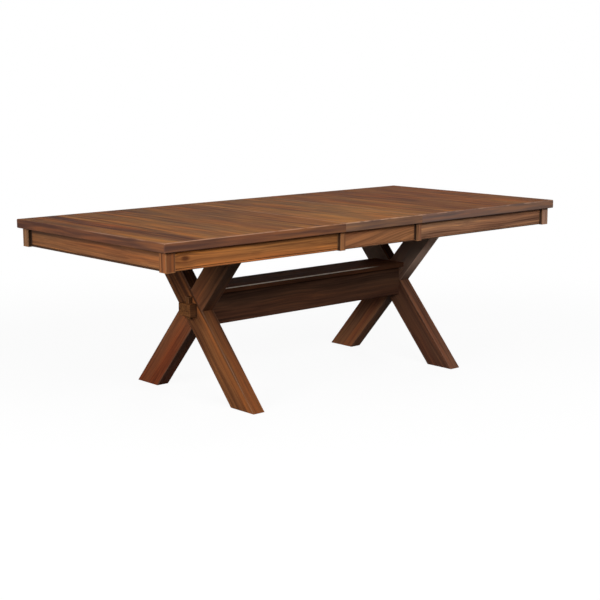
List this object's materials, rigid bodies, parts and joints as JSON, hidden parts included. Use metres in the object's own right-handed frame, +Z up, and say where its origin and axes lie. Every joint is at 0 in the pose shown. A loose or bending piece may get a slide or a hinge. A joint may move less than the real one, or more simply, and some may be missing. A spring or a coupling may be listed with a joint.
{
  "type": "sawbuck table",
  "caption": "Long wooden dining table on crossed-leg trestles joined by a keyed stretcher, with a lift-out leaf and a top that slides open.",
  "frame": {"origin": "on the floor, under the middle of the table top with the leaf in place", "axes": "+X along the table's length, +Y across its width, away from the near long side, and +Z up"},
  "size_m": [2.286, 1.0668, 0.762],
  "materials": {
    "top_wood": "satin",
    "apron_wood": "satin",
    "post_wood": "satin",
    "leg_wood": "satin",
    "key_wood": "satin",
    "stretcher_wood": "satin",
    "inner_wood": "unfinished",
    "slide_wood": "waxed",
    "gear_plastic": "moulded",
    "fastener_steel": "zinc plated"
  },
  "bodies": {
    "base": {"left_cleat": "slide_wood", "left_key": "key_wood", "left_leg_far_foot": "leg_wood", "left_leg_near_foot": "leg_wood", "leg_bolts": "fastener_steel", "pinion_pins": "fastener_steel", "rail_far": "slide_wood", "rail_near": "slide_wood", "rail_screws": "fastener_steel", "right_cleat": "slide_wood", "right_key": "key_wood", "right_leg_far_foot": "leg_wood", "right_leg_near_foot": "leg_wood", "stretcher_cap": "stretcher_wood", "stretcher_cheek_far": "stretcher_wood", "stretcher_cheek_near": "stretcher_wood", "stretcher_core": "stretcher_wood"},
    "pinion_near": {"pinion_near": "gear_plastic"},
    "pinion_far": {"pinion_far": "gear_plastic"},
    "left_half": {"left_apron_end": "apron_wood", "left_apron_far": "apron_wood", "left_apron_near": "apron_wood", "left_corner_blocks": "inner_wood", "left_leaf_lugs": "inner_wood", "left_post_far": "post_wood", "left_post_near": "post_wood", "left_rack_far": "gear_plastic", "left_rack_near": "gear_plastic", "left_runner_far": "slide_wood", "left_runner_near": "slide_wood", "left_screws": "fastener_steel", "left_seam_post_far": "post_wood", "left_seam_post_near": "post_wood", "left_top": "top_wood"},
    "right_half": {"right_apron_end": "apron_wood", "right_apron_far": "apron_wood", "right_apron_near": "apron_wood", "right_corner_blocks": "inner_wood", "right_leaf_lugs": "inner_wood", "right_post_far": "post_wood", "right_post_near": "post_wood", "right_rack_far": "gear_plastic", "right_rack_near": "gear_plastic", "right_runner_far": "slide_wood", "right_runner_near": "slide_wood", "right_screws": "fastener_steel", "right_seam_post_far": "post_wood", "right_seam_post_near": "post_wood", "right_top": "top_wood"},
    "leaf": {"leaf_apron_far": "apron_wood", "leaf_apron_near": "apron_wood", "leaf_post_left_far": "post_wood", "leaf_post_left_near": "post_wood", "leaf_post_right_far": "post_wood", "leaf_post_right_near": "post_wood", "leaf_top": "top_wood"}
  },
  "joints": [
    {"name": "right_slide", "type": "slide", "parent": "base", "child": "right_half", "axis": [1, 0, 0], "range_m": [0, 0.04]},
    {"name": "left_slide", "type": "slide", "parent": "base", "child": "left_half", "axis": [-1, 0, 0], "range_m": [0, 0.04]},
    {"name": "leaf_lift", "type": "slide", "parent": "base", "child": "leaf", "axis": [0, 0, 1], "range_m": [0, 0.3]},
    {"name": "pinion_near_turn", "type": "hinge", "parent": "base", "child": "pinion_near", "pos_m": [0, -0.17, 0.6816], "axis": [0, 0, 1], "range_deg": [-102, 0]},
    {"name": "pinion_far_turn", "type": "hinge", "parent": "base", "child": "pinion_far", "pos_m": [0, 0.17, 0.6816], "axis": [0, 0, 1], "range_deg": [-102, 0]}
  ],
  "couplings": [
    {"joint": "left_slide", "follows": "right_slide", "ratio": 1},
    {"joint": "pinion_near_turn", "follows": "right_slide", "rad_per_m": -44.444},
    {"joint": "pinion_far_turn", "follows": "right_slide", "rad_per_m": -44.444}
  ]
}
